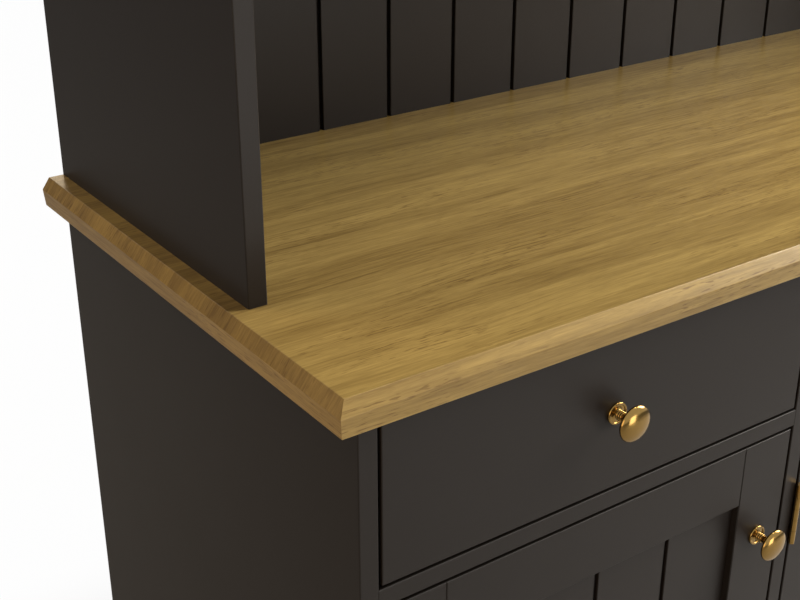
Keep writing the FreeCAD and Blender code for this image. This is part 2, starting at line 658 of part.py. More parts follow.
DOOR_X = (BAY[0] + REVEAL, BAY[1] - REVEAL)
SIGHT_X = (DOOR_X[0] + STILE_WIDTH, DOOR_X[1] - STILE_WIDTH)
SIGHT_Z = (DOOR_Z[0] + DOOR_RAIL_HEIGHT, DOOR_Z[1] - DOOR_RAIL_HEIGHT)
PANEL_Y = (FRONT + PANEL_RECESS, FRONT + PANEL_RECESS + PANEL_THICKNESS)
GROOVE_Y = (PANEL_Y[0] - SLIP, PANEL_Y[1] + SLIP)
DOOR_KNOB = (DOOR_X[1] - STILE_WIDTH / 2, DOOR_Z[1] - DOOR_KNOB_DROP)
CATCH_X = (DOOR_X[1] - CATCH_INSET - CATCH_LENGTH, DOOR_X[1] - CATCH_INSET)


def stile():
    """The left upright of the door frame, grooved along its inner edge."""
    xs = (DOOR_X[0], SIGHT_X[0])
    upright = block(xs, (FRONT, DOOR_BACK), DOOR_Z)
    upright = upright.makeChamfer(JOINT_BEVEL, edges_on(upright, x=xs[1], y=FRONT))
    outer = {"x": xs[0], "y": FRONT}
    upright = eased(upright, outer, {"y": FRONT, "z": DOOR_Z[0]}, {"y": FRONT, "z": DOOR_Z[1]})
    return upright.cut(block((xs[1] - FRAME_GROOVE, xs[1]), GROOVE_Y, DOOR_Z))


def hinge_stile():
    return stile().cut(door_leaf_screws(SLIP))


def lock_stile():
    hole = knob_screw(DOOR_KNOB[0], DOOR_KNOB[1], DOOR_THICKNESS, SHANK_CLEAR)
    return mirrored(stile(), BAY_MIDDLE).cut(hole)


def door_rail(outer, inner):
    """A rail between the stiles, with a stub tenon at each end and a groove along its inner edge."""
    zs = (min(outer, inner), max(outer, inner))
    inward = 1 if inner > outer else -1
    rail = block(SIGHT_X, (FRONT, DOOR_BACK), zs)
    ends = edges_on(rail, x=SIGHT_X[0], y=FRONT) + edges_on(rail, x=SIGHT_X[1], y=FRONT)
    rail = rail.makeChamfer(JOINT_BEVEL, ends)
    rail = eased(rail, {"y": FRONT, "z": outer}, {"y": FRONT, "z": inner})
    floor = inner - inward * FRAME_GROOVE
    groove = block(SIGHT_X, GROOVE_Y, (min(floor, inner), max(floor, inner)))
    reach = FRAME_GROOVE - SLIP
    tenons = block((SIGHT_X[0] - reach, SIGHT_X[1] + reach), PANEL_Y, (min(floor, outer), max(floor, outer)))
    return rail.cut(groove).fuse(tenons).removeSplitter()


def door_boards():
    tuck = FRAME_GROOVE - GROOVE_END_GAP
    zs = (SIGHT_Z[0] - tuck, SIGHT_Z[1] + tuck)
    pitch = (SIGHT_X[1] - SIGHT_X[0]) / DOOR_BOARDS
    return boarding(SIGHT_X, zs, PANEL_Y[0], PANEL_THICKNESS, pitch, tuck)


def strike_plate():
    top = DOOR_Z[1] - STRIKE_DROP
    return block(CATCH_X, (DOOR_BACK, DOOR_BACK + STRIKE_THICKNESS), (top - STRIKE_HEIGHT, top))


def magnet_catch():
    front = DOOR_BACK + STRIKE_THICKNESS + CATCH_GAP
    back = front + CATCH_DEPTH
    case = block(CATCH_X, (front, back), (RAIL_Z[0] - CATCH_HEIGHT, RAIL_Z[0]))
    return eased(case, {"x": CATCH_X[0], "y": back}, {"x": CATCH_X[1], "y": back})


# Hutch

HUTCH_SHELF_Y = (HUTCH_FRONT + HUTCH_SHELF_SETBACK, BOARD_FACE)
TOP_Y = (HUTCH_FRONT + BOARD, BACK)


def dowel_places():
    """The dowels under the left side of the hutch, near its front and its back."""
    return [(-HALF + BOARD / 2, y) for y in (HUTCH_FRONT + DOWEL_INSET, BACK - DOWEL_INSET)]


def dowel_holes(into):
    """The holes for those dowels, from the joint up into the side or down into the worktop."""
    radius = DOWEL_RADIUS + SLIP
    depth = DOWEL_LENGTH / 2 + SLIP
    return [rod(radius, V(x, y, WORKTOP_TOP), into, depth) for x, y in dowel_places()]


def hutch_dowels():
    foot = WORKTOP_TOP - DOWEL_LENGTH / 2
    return both_sides([rod(DOWEL_RADIUS, V(x, y, foot), UP, DOWEL_LENGTH) for x, y in dowel_places()])


def hutch_side():
    side = block((-HALF, -INNER), (HUTCH_FRONT, BACK), (WORKTOP_TOP, HUTCH_TOP))
    side = eased(side, {"x": -HALF, "y": HUTCH_FRONT}, {"x": -INNER, "y": HUTCH_FRONT})
    housings = [housing(HUTCH_SHELF_Y, zs) for zs in (LOWER_SHELF_Z, UPPER_SHELF_Z)]
    return side.cut(housings + [housing(TOP_Y, TOP_Z)] + dowel_holes(UP))


def hutch_shelf(zs):
    shelf = housed(HUTCH_SHELF_Y, zs)
    front = HUTCH_SHELF_Y[0]
    return eased(shelf, {"y": front, "z": zs[0]}, {"y": front, "z": zs[1]})


def hutch_top():
    return housed(TOP_Y, TOP_Z).cut(bracket_screws(SLIP))


def hutch_fascia():
    front = HUTCH_FRONT
    board = block((-INNER, INNER), (front, front + BOARD), (HUTCH_TOP - FASCIA_HEIGHT, HUTCH_TOP))
    return eased(board, {"y": front, "z": HUTCH_TOP - FASCIA_HEIGHT})


def hutch_boards():
    xs = (-INNER + SLIP, INNER - SLIP)
    return boarding(xs, (WORKTOP_TOP, TOP_Z[0]), BOARD_FACE, HUTCH_BOARD, HUTCH_PITCH, 0.0)


def back_rails():
    """Level rails behind the boards, from the worktop to the top panel."""
    step = (TOP_Z[0] - WORKTOP_TOP - BACK_RAIL_HEIGHT) / (BACK_RAILS - 1)
    lows = [WORKTOP_TOP + step * place for place in range(BACK_RAILS)]
    rails = [block((-INNER, INNER), (BACK - BOARD, BACK), (low, low + BACK_RAIL_HEIGHT)) for low in lows]
    return [rails[0].cut(joining_screws(SLIP))] + rails[1:]


def cornice_outline():
    """The cornice's section, as reach from the hutch and height: a bead, a cove and a crown."""
    low = HUTCH_TOP + CORNICE_RISE - CORNICE_HEIGHT
    high = HUTCH_TOP + CORNICE_RISE
    cove_low = (CORNICE_FOOT, low + CORNICE_BEAD)
    cove_high = (CORNICE_REACH, high - CORNICE_BEAD)
    turn = math.sqrt(0.5)
    belly_reach = cove_low[0] + (cove_high[0] - cove_low[0]) * (1 - turn)
    belly = (belly_reach, cove_low[1] + (cove_high[1] - cove_low[1]) * turn)
    return [(0, low), (CORNICE_FOOT, low), cove_low, belly, cove_high, (CORNICE_REACH, high), (0, high)]


def cornice_bar(place, along):
    """The section, set out by a function of reach and height, and run along a vector."""
    corner, foot, cove_low, belly, cove_high, crown, top = [V(*place(*at)) for at in cornice_outline()]
    edges = [Part.LineSegment(corner, foot), Part.LineSegment(foot, cove_low)]
    edges += [Part.Arc(cove_low, belly, cove_high), Part.LineSegment(cove_high, crown)]
    edges += [Part.LineSegment(crown, top), Part.LineSegment(top, corner)]
    return Part.Face(Part.Wire([edge.toShape() for edge in edges])).extrude(along)


def cornice():
    """The front length and the left length, mitred where they meet."""
    reach = CORNICE_REACH
    out = HALF + reach
    ahead = HUTCH_FRONT - reach
    low = HUTCH_TOP - CORNICE_HEIGHT
    rise = UP * (2 * CORNICE_HEIGHT)
    front_plan = [(-HALF, HUTCH_FRONT), (HALF, HUTCH_FRONT), (out, ahead), (-out, ahead)]
    left_plan = [(-HALF, HUTCH_FRONT), (-out, ahead), (-out, BACK), (-HALF, BACK)]
    front = cornice_bar(lambda r, z: (-out, HUTCH_FRONT - r, z), RIGHT * (2 * out))
    left = cornice_bar(lambda r, z: (-HALF - r, BACK, z), AHEAD * (BACK - ahead))
    front = front.common(prism([(x, y, low) for x, y in front_plan], rise))
    left = left.common(prism([(x, y, low) for x, y in left_plan], rise))
    return front, left


# Steel plates and brackets at the back

def joining_screws(clear=0.0):
    """The screws of the plates that tie the hutch to the worktop."""
    middle = -INNER + PLATE_INSET
    xs = (middle - PLATE_WIDTH / 2 + PLATE_EDGE, middle + PLATE_WIDTH / 2 - PLATE_EDGE)
    low = WORKTOP_TOP - PLATE_LAP
    zs = (low + PLATE_EDGE, low + PLATE_HEIGHT - PLATE_EDGE)
    seats = [V(x, BACK + PLATE, z) for x in xs for z in zs]
    return both_sides([small_screw(seat, AHEAD, clear) for seat in seats])


def joining_plates():
    middle = -INNER + PLATE_INSET
    low = WORKTOP_TOP - PLATE_LAP
    xs = (middle - PLATE_WIDTH / 2, middle + PLATE_WIDTH / 2)
    zs = (low, low + PLATE_HEIGHT)
    plate = block(xs, (BACK, BACK + PLATE), zs)
    plate = eased(plate, *[{"x": x, "z": z} for x in xs for z in zs], radius=PLATE_CORNER)
    plates = both_sides([plate.cut(joining_screws(SLIP))])
    return plates + joining_screws()


def bracket_screws(clear=0.0):
    """The screws that hold the wall brackets down on the top panel."""
    x = -INNER + BRACKET_INSET
    front = BACK - BRACKET_LEG
    ys = (front + PLATE_EDGE, BACK - PLATE - PLATE_EDGE)
    return both_sides([small_screw(V(x, y, TOP_Z[1] + PLATE), -UP, clear) for y in ys])


def wall_brackets():
    """Angle brackets on the top panel, each with a hole for a screw into the wall."""
    x = -INNER + BRACKET_INSET
    xs = (x - BRACKET_WIDTH / 2, x + BRACKET_WIDTH / 2)
    flat = block(xs, (BACK - BRACKET_LEG, BACK), (TOP_Z[1], TOP_Z[1] + PLATE))
    upright = block(xs, (BACK - PLATE, BACK), (TOP_Z[1], TOP_Z[1] + BRACKET_LEG))
    hole = rod(WALL_HOLE_RADIUS, V(x, BACK, TOP_Z[1] + WALL_HOLE_RISE), AHEAD, PLATE)
    bracket = flat.fuse(upright).removeSplitter()
    front = {"y": BACK - BRACKET_LEG}
    top = {"z": TOP_Z[1] + BRACKET_LEG}
    bracket = eased(bracket, *[{"x": x, **end} for x in xs for end in (front, top)], radius=PLATE_CORNER)
    bracket = bracket.cut([hole] + bracket_screws(SLIP))
    return both_sides([bracket]) + bracket_screws()


# Nodes

def group(shapes):
    return shapes[0] if len(shapes) == 1 else Part.makeCompound(shapes)


def build():
    """Each node's name and its solids. A name with {} is made for the left, and set elsewhere too."""
    front_cornice, left_cornice = cornice()
    nodes = {
        "base_dividers": dividers(),
        "base_bottom": [base_bottom()],
        "base_back_panel": [base_back_panel()],
        "top_stretchers": [board.cut(worktop_screws(SHANK_CLEAR)) for board in stretchers()],
        "drawer_rails": in_bays([drawer_rail()]),
        "plinth_boards": plinth_boards(),
        "floor_glides": both_sides([glide(place) for place in glide_places()]),
        "worktop": [worktop()],
        "worktop_screws": worktop_screws(),
        "cupboard_shelves": in_bays([cupboard_shelf()]),
        "shelf_pins": shelf_pins(),
        "magnet_catches": in_bays([magnet_catch()]),
        "drawer_runners": in_bays(both_sides([drawer_runner()], BAY_MIDDLE)),
        "frame_hinge_leaves": in_bays(frame_leaves()),
        "hutch_shelves": [hutch_shelf(zs) for zs in (LOWER_SHELF_Z, UPPER_SHELF_Z)],
        "hutch_top": [hutch_top()],
        "hutch_fascia": [hutch_fascia()],
        "hutch_back_boards": hutch_boards(),
        "hutch_back_rails": back_rails(),
        "hutch_dowels": hutch_dowels(),
        "cornice": [front_cornice] + both_sides([left_cornice]),
        "joining_plates": joining_plates(),
        "wall_brackets": wall_brackets(),
    }
    for name, side in {"base_side_{}": base_side(), "hutch_side_{}": hutch_side()}.items():
        nodes[name.format("left")] = [side]
        nodes[name.format("right")] = [mirrored(side)]
    drawer_knob = (BAY_MIDDLE, DRAWER_KNOB_Z)
    bay = {
        "drawer_{}_front": [drawer_front()],
        "drawer_{}_sides": both_sides([drawer_side()], BAY_MIDDLE),
        "drawer_{}_back": [drawer_box_back()],
        "drawer_{}_bottom": [drawer_bottom()],
        "drawer_{}_knob": [knob(*drawer_knob), knob_screw(*drawer_knob, DRAWER_FRONT)],
        "door_{}_stiles": [hinge_stile(), lock_stile()],
        "door_{}_rails": [door_rail(DOOR_Z[1], SIGHT_Z[1]), door_rail(DOOR_Z[0], SIGHT_Z[0])],
        "door_{}_boards": door_boards(),
        "door_{}_knob": [knob(*DOOR_KNOB), knob_screw(*DOOR_KNOB, DOOR_THICKNESS)],
        "door_{}_strike": [strike_plate()],
        "door_{}_hinge_leaves": door_leaves(),
    }
    for name, shapes in bay.items():
        for place in BAYS:
            nodes[name.format(place)] = [set_in(place, shape) for shape in shapes]
    return nodes


os.makedirs("parts", exist_ok=True)
for node, solids in build().items():
    group(solids).exportStep(os.path.join("parts", node + ".step"))
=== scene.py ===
# %% [markdown]
# # A tall sideboard, dressed for a studio picture
# The cupboard base, the worktop and the hutch arrive as finished solids, each in its own place.
# What is left for Blender is what the solids can't carry: paint, oak, brass and light, and the few turned
# pieces whose smooth curves show in a close picture. Loading the solids first means that every later
# measure can be read from them instead of being typed twice.

# %% Load the solids
import json
import math

import bpy
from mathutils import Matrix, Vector


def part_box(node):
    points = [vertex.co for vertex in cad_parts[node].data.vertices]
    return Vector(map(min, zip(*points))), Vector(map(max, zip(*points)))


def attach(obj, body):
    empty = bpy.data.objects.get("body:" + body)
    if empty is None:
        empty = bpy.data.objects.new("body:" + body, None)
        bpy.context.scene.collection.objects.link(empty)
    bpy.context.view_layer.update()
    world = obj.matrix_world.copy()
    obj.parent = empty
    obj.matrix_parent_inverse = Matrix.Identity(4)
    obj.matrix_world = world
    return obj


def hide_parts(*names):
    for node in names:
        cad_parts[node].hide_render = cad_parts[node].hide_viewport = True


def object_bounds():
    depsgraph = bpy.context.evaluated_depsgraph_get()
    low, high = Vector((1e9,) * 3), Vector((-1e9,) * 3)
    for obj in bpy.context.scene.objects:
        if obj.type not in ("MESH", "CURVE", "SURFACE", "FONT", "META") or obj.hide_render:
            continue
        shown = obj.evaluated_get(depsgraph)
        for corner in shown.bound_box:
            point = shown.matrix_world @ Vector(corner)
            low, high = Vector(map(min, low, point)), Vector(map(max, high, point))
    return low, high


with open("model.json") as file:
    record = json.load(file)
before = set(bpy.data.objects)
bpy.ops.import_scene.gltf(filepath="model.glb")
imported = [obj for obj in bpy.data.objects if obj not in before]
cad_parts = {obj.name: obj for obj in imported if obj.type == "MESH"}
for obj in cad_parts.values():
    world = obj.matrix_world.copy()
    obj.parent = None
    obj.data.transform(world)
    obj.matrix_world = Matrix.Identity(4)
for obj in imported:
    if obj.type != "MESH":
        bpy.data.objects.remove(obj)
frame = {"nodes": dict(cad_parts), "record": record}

scene = bpy.context.scene
solid_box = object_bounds()
print("solids:", len(frame["nodes"]), "box:", [round(v, 4) for v in solid_box[1] - solid_box[0]])

# %% [markdown]
# ## The camera
# The picture is a close look at the left end of the worktop, from above and from the left.
# A camera could be found by trial, but straight edges of known size fix it: its place and direction follow
# from the edges of the worktop and the drawer, so the place is measured from the worktop's front corner.
# Sixty millimetres on a full frame keeps the uprights almost parallel, as in a product picture.

# %% Place the camera
CAMERA_FROM_CORNER = Vector((-0.3836, -0.6133, 0.4185))
CAMERA_AIM = Vector((0.5175, 0.7397, -0.4301))
LENS_MM, SENSOR_MM = 59.8, 36.0
worktop_low, worktop_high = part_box("worktop")
worktop_corner = Vector((worktop_low.x, worktop_low.y, worktop_high.z))
camera_data = bpy.data.cameras.new("close_view")
camera_data.lens = LENS_MM
camera_data.sensor_width = SENSOR_MM
camera = bpy.data.objects.new("close_view", camera_data)
camera.location = worktop_corner + CAMERA_FROM_CORNER
camera.rotation_euler = CAMERA_AIM.to_track_quat("-Z", "Y").to_euler()
scene.collection.objects.link(camera)
scene.camera = camera
print("camera at", [round(v, 3) for v in camera.location], "lens", LENS_MM)

# %% [markdown]
# ## Floor and backdrop
# A product picture like this is taken in a pale cove: a floor that turns up into a wall with no corner.
# The cove is one strip of faces. A plane's far edge is pulled up into a wall, and a bevel rounds the turn.

# %% Helpers for selecting and finishing
def start_fresh():
    """Leave edit mode and deselect everything, so that the next operator only meets the new piece."""
    if bpy.context.object and bpy.context.object.mode != "OBJECT":
        bpy.ops.object.mode_set(mode="OBJECT")
    bpy.ops.object.select_all(action="DESELECT")


def pick(piece, kind, wanted):
    """In edit mode, select only the faces (by their normal) or edges (by their two ends) that are wanted."""
    bpy.ops.mesh.select_mode(type=kind)
    bpy.ops.mesh.select_all(action="DESELECT")
    bpy.ops.object.mode_set(mode="OBJECT")
    if kind == "FACE":
        for face in piece.data.polygons:
            face.select = wanted(face.normal)
    else:
        for edge in piece.data.edges:
            edge.select = wanted(*(piece.data.vertices[end].co for end in edge.vertices))
    bpy.ops.object.mode_set(mode="EDIT")


def settle(piece, name):
    """Give a piece its name, and move its place, turn and scale into its mesh."""
    start_fresh()
    piece.select_set(True)
    bpy.context.view_layer.objects.active = piece
    bpy.ops.object.transform_apply(location=True, rotation=True, scale=True)
    piece.name = name
    piece.data.name = name
    return piece


# %% Build the cove
COVE_HALF, COVE_WALL, COVE_TURN = 7.0, 4.5, 2.0
start_fresh()
bpy.ops.mesh.primitive_plane_add(size=2 * COVE_HALF, location=(0, 0, 0))
cove = bpy.context.object
bpy.ops.object.mode_set(mode="EDIT")
pick(cove, "EDGE", lambda a, b: min(a.y, b.y) > 0)
bpy.ops.mesh.extrude_region_move(TRANSFORM_OT_translate={"value": (0, 0, COVE_WALL)})
pick(cove, "EDGE", lambda a, b: min(a.y, b.y) > 0 and max(a.z, b.z) < COVE_WALL / 2)
bpy.ops.mesh.bevel(offset=COVE_TURN, segments=16)
bpy.ops.object.mode_set(mode="OBJECT")
bpy.ops.object.shade_smooth()
settle(cove, "studio_cove")
print("cove faces:", len(cove.data.polygons))

# %% [markdown]
# ## Colouring the cove
# The camera has to see a plain white behind the piece, yet the floor must still hold the shadow and throw
# only as much light on the paint as a pale floor would. So the white is shown to the camera's own rays,
# a little of it to mirrors, and the light that falls on the piece stays as it is. Close to the piece the floor
# keeps more of its own light and the shadow, and over about half a metre it fades to white.

# %% Small helpers for shader nodes
def feed(tree, node, inputs):
    """Set a node's inputs, by name or number, to plain values, or link them to sockets."""
    for name, value in inputs.items():
        if isinstance(value, bpy.types.NodeSocket):
            tree.links.new(value, node.inputs[name])
        else:
            node.inputs[name].default_value = value


def add_node(tree, kind, inputs=None, **settings):
    """One shader node, with its settings and its inputs."""
    made = tree.nodes.new(kind)
    for name, value in settings.items():
        setattr(made, name, value)
    feed(tree, made, inputs or {})
    return made


def maths(tree, operation, first, second=0.0):
    """One step of arithmetic on values or sockets."""
    return add_node(tree, "ShaderNodeMath", {0: first, 1: second}, operation=operation).outputs[0]


def noise(tree, at, per_metre, detail):
    """Noise with so many features to the metre, the same in every direction."""
    return add_node(tree, "ShaderNodeTexNoise", {"Vector": at, "Scale": per_metre, "Detail": detail}).outputs[0]


def blend_colours(tree, factor, first, second):
    """Two colours mixed by a factor. Plain colours have four values."""
    return add_node(tree, "ShaderNodeMix", {0: factor, 6: first, 7: second}, data_type="RGBA").outputs[2]


def new_finish(name):
    """A material with its own tree, the shader at its end, and the place on the piece."""
    material = bpy.data.materials.new(name)
    material.use_nodes = True
    tree = material.node_tree
    at = add_node(tree, "ShaderNodeTexCoord").outputs["Object"]
    return material, tree, tree.nodes["Principled BSDF"], at


# %% Colour the cove
FLOOR_PALE = (0.57, 0.57, 0.57, 1)
FLOOR_WORN = (0.53, 0.53, 0.53, 1)
SCUFFS_PER_METRE = 3.0
cove_finish, tree, shader, at = new_finish("pale_cove")
scuffs = noise(tree, at, SCUFFS_PER_METRE, detail=4.0)
feed(tree, shader, {"Base Color": blend_colours(tree, scuffs, FLOOR_WORN, FLOOR_PALE), "Roughness": 0.9})
cove.data.materials.append(cove_finish)
print("cove finish:", cove_finish.name)

# %% Fade the cove to white
WHITE = (1, 1, 1, 1)
SEEN_WHITE = 0.985  # share of white that the camera sees far from the piece
SHADOW_WHITE = 0.45  # and close to it
SHADOW_EDGE = 0.6  # distance in metres at which the floor has faded to white
MIRRORED_WHITE = 0.1  # share of white that mirrors see
axes = add_node(tree, "ShaderNodeSeparateXYZ", {0: at}).outputs
beside = maths(tree, "SUBTRACT", maths(tree, "ABSOLUTE", axes[0]), solid_box[1].x)
before = maths(tree, "SUBTRACT", maths(tree, "ABSOLUTE", axes[1]), solid_box[1].y)
away = maths(tree, "MAXIMUM", maths(tree, "MAXIMUM", beside, before), axes[2])
fade = add_node(tree, "ShaderNodeMapRange", {0: away, 1: 0.0, 2: SHADOW_EDGE, 3: SHADOW_WHITE, 4: SEEN_WHITE},
                interpolation_type="SMOOTHSTEP").outputs[0]
rays = add_node(tree, "ShaderNodeLightPath")
seen = maths(tree, "MAXIMUM", rays.outputs["Is Camera Ray"], rays.outputs["Is Transmission Ray"])
seen = maths(tree, "MULTIPLY", seen, fade)
mirrored = maths(tree, "MULTIPLY", rays.outputs["Is Glossy Ray"], MIRRORED_WHITE)
share = maths(tree, "MAXIMUM", seen, mirrored)
white = add_node(tree, "ShaderNodeEmission", {"Color": WHITE, "Strength": 1.0})
cove_mix = add_node(tree, "ShaderNodeMixShader", {0: share, 1: shader.outputs[0], 2: white.outputs[0]})
feed(tree, tree.nodes["Material Output"], {"Surface": cove_mix.outputs[0]})
print("faded over:", SHADOW_EDGE)

# %% [markdown]
# ## Light
# The room's light is read from the piece itself. The boards of the back grow brighter towards the right, and
# the worktop is dim beside the hutch side, so one large softbox stands near, to the right and a little in front.
# A small lamp higher up adds a crisper light. The painted fronts show mostly their sheen, which mirrors a low
# card in front. The left faces are faint and warm, from two warm cards on the left, and a third card behind
# lets the back be seen. A dim sky fills the rest.

# %% Light the sky
SKY_LEVEL = 0.02
world = bpy.data.worlds.new("soft_sky")
scene.world = world
world.use_nodes = True
tree = world.node_tree
sky = tree.nodes["Background"]
feed(tree, sky, {"Color": WHITE, "Strength": SKY_LEVEL})
rays = add_node(tree, "ShaderNodeLightPath")
seen = maths(tree, "MAXIMUM", rays.outputs["Is Camera Ray"], rays.outputs["Is Glossy Ray"])
seen = maths(tree, "MAXIMUM", seen, rays.outputs["Is Transmission Ray"])
backdrop = add_node(tree, "ShaderNodeBackground", {"Color": WHITE, "Strength": 1.0})
sky_mix = add_node(tree, "ShaderNodeMixShader", {0: seen, 1: sky.outputs[0], 2: backdrop.outputs[0]})
feed(tree, tree.nodes["World Output"], {"Surface": sky_mix.outputs[0]})
print("sky level:", SKY_LEVEL)

# %% Hang the lamps
LIT_FROM_CORNER = Vector((0.263, 0.147, -0.02))
SOFT_WHITE = (1.0, 0.95, 0.88)
WARM_WHITE = (1.0, 0.80, 0.54)
AMBER = (1.0, 0.68, 0.38)
lit_spot = worktop_corner + LIT_FROM_CORNER


def hang_lamp(name, bearing, rise, reach, size, power, colour):
    """A square softbox round the lit spot. Bearing is in degrees to the right of straight in front."""
    turn, lift = math.radians(bearing), math.radians(rise)
    heading = Vector((math.sin(turn) * math.cos(lift), -math.cos(turn) * math.cos(lift), math.sin(lift)))
    lamp_data = bpy.data.lights.new(name, "AREA")
    lamp_data.shape = "SQUARE"
    lamp_data.size = size
    lamp_data.energy = power
    lamp_data.color = colour
    lamp = bpy.data.objects.new(name, lamp_data)
    lamp.location = lit_spot + heading * reach
    lamp.rotation_euler = (-heading).to_track_quat("-Z", "Y").to_euler()
    lamp.visible_camera = False
    scene.collection.objects.link(lamp)


# Bearing and rise in degrees, reach and size in metres, power in watts
hang_lamp("right_softbox", 75, 26, 2.5, 1.4, 107, SOFT_WHITE)
hang_lamp("small_top_lamp", 60, 60, 2.5, 0.3, 8, SOFT_WHITE)
hang_lamp("low_front_card", 18, -10, 2.6, 0.8, 10.5, SOFT_WHITE)
hang_lamp("left_front_card", -60, 5, 3.0, 1.6, 20, AMBER)
hang_lamp("left_top_card", -125, 50, 3.0, 1.2, 16, WARM_WHITE)
hang_lamp("back_card", 158, 15, 3.4, 1.6, 20, WARM_WHITE)

# %% [markdown]
# ## Turned brass knobs
# Each drawer and door has one small knob: a rose with a rounded rim, a stem with three rings, a flared neck
# and a domed head. The real one is turned on a lathe from brass bar, so its outline is drawn once, from the
# axis outwards, and spun round the axis. A stack of primitives would leave seams where the lathe leaves none.
# All six are alike: one is modelled, and the others are copies.

# %% Helper for arcs
def bow(start, middle, end, steps):
    """Points along the arc from start through middle to end. The start itself is left out."""
    (ax, ay), (bx, by), (cx, cy) = start, middle, end
    squares = [x * x + y * y for x, y in (start, middle, end)]
    twice_area = 2 * (ax * (by - cy) + bx * (cy - ay) + cx * (ay - by))
    hub_x = (squares[0] * (by - cy) + squares[1] * (cy - ay) + squares[2] * (ay - by)) / twice_area
    hub_y = (squares[0] * (cx - bx) + squares[1] * (ax - cx) + squares[2] * (bx - ax)) / twice_area
    first, second, third = (math.atan2(y - hub_y, x - hub_x) for x, y in (start, middle, end))
    sweep = math.remainder(second - first, math.tau) + math.remainder(third - second, math.tau)
    radius = math.hypot(ax - hub_x, ay - hub_y)
    turns = [first + sweep * step / steps for step in range(1, steps + 1)]
    return [(hub_x + radius * math.cos(turn), hub_y + radius * math.sin(turn)) for turn in turns]


# %% Draw the knob's outline
# Points are pairs in millimetres: radius from the axis, and height over the face that the knob sits on.
KNOB_HEIGHT, KNOB_RADIUS, KNOB_BRIM = 25.2, 15.5, 20.0  # the brim is the height where the head is widest
ROSE_RADIUS, ROSE_RIM, ROSE_DISH = 9.6, 1.1, (5.2, 1.35)
STEM_RADIUS, RING_FOOT, RING_COUNT, RING_PITCH, RING_BULGE = 3.3, 2.6, 3, 2.0, 1.0
NECK_MIDDLE, HEAD_UNDER, HEAD_RIM = (6.833, 15.133), (13.9, 18.4), (15.031, 18.869)
DOME_STEPS = 18
rose_inside = (ROSE_RADIUS - 2 * ROSE_RIM, ROSE_RIM)
outline = [(0, 0), (ROSE_RADIUS, 0), (ROSE_RADIUS, ROSE_RIM)]
outline += bow(outline[-1], (ROSE_RADIUS - ROSE_RIM, 2 * ROSE_RIM), rose_inside, steps=10)
outline += bow(rose_inside, ROSE_DISH, (STEM_RADIUS, RING_FOOT), steps=8)
for ring in range(RING_COUNT):
    foot = RING_FOOT + ring * RING_PITCH
    bulge = (STEM_RADIUS + RING_BULGE, foot + RING_PITCH / 2)
    outline += bow((STEM_RADIUS, foot), bulge, (STEM_RADIUS, foot + RING_PITCH), steps=8)
outline += bow(outline[-1], NECK_MIDDLE, HEAD_UNDER, steps=14)
outline += bow(HEAD_UNDER, HEAD_RIM, (KNOB_RADIUS, KNOB_BRIM), steps=6)
dome = KNOB_HEIGHT - KNOB_BRIM
for step in range(1, DOME_STEPS):
    lift = math.pi / 2 * step / DOME_STEPS
    outline.append((KNOB_RADIUS * math.cos(lift), KNOB_BRIM + dome * math.sin(lift)))
outline.append((0, KNOB_HEIGHT))
print("outline points:", len(outline), "widest:", round(max(r for r, h in outline), 2), "mm")

# %% Spin the knob
MILLIMETRE = 0.001
SAME_POINT = 1e-6
SPIN_STEPS = 72
SMOOTH_UNDER = math.radians(35)
start_fresh()
bpy.ops.mesh.primitive_plane_add(size=MILLIMETRE, location=(0, 0, 0))
knob_pattern = bpy.context.object
bpy.ops.object.mode_set(mode="EDIT")
bpy.ops.mesh.select_mode(type="VERT")
bpy.ops.mesh.select_all(action="SELECT")
bpy.ops.mesh.merge(type="CENTER")
for (radius, height), (next_radius, next_height) in zip(outline, outline[1:]):
    step = ((next_radius - radius) * MILLIMETRE, (height - next_height) * MILLIMETRE, 0)
    bpy.ops.mesh.extrude_region_move(TRANSFORM_OT_translate={"value": step})
bpy.ops.mesh.select_all(action="SELECT")
bpy.ops.mesh.spin(steps=SPIN_STEPS, angle=math.tau, center=(0, 0, 0), axis=(0, 1, 0))
bpy.ops.mesh.select_all(action="SELECT")
bpy.ops.mesh.remove_doubles(threshold=SAME_POINT)
bpy.ops.mesh.normals_make_consistent(inside=False)
bpy.ops.object.mode_set(mode="OBJECT")
bpy.ops.object.shade_smooth_by_angle(angle=SMOOTH_UNDER)
settle(knob_pattern, "knob_pattern")
print("knob faces:", len(knob_pattern.data.polygons))

# %% Set a knob on every drawer and door
def copy_to(pattern, name, place):
    """A copy of a pattern, with its own mesh, at a place."""
    start_fresh()
    pattern.select_set(True)
    bpy.context.view_layer.objects.active = pattern
    bpy.ops.object.duplicate(linked=False)
    piece = bpy.context.object
    bpy.ops.transform.translate(value=place)
    return settle(piece, name)


knob_seats = {}
for node in sorted(name for name in frame["nodes"] if name.endswith("_knob")):
    low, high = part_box(node)
    knob_seats[node] = Vector(((low.x + high.x) / 2, low.y + KNOB_HEIGHT * MILLIMETRE, (low.z + high.z) / 2))
knobs = []
for node, seat in knob_seats.items():
    knob = copy_to(knob_pattern, node + "_turned", seat)
    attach(knob, node.removesuffix("_knob"))
    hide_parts(node)
    knobs.append(knob)
bpy.data.objects.remove(knob_pattern)
print("knobs:", [knob.name for knob in knobs])

# %% [markdown]
# ## Knob screws
# A machine screw comes through the drawer front or the stile from behind and holds the knob. Only its pan
# head shows, and only with the drawer out or the door open. The head is a short cylinder with a rounded rim.
# Its seat is inset and pulled out into the shank, and a cross is cut for the driver.
# The stiles are thicker than the drawer fronts, so the shank's length is worked out for each.

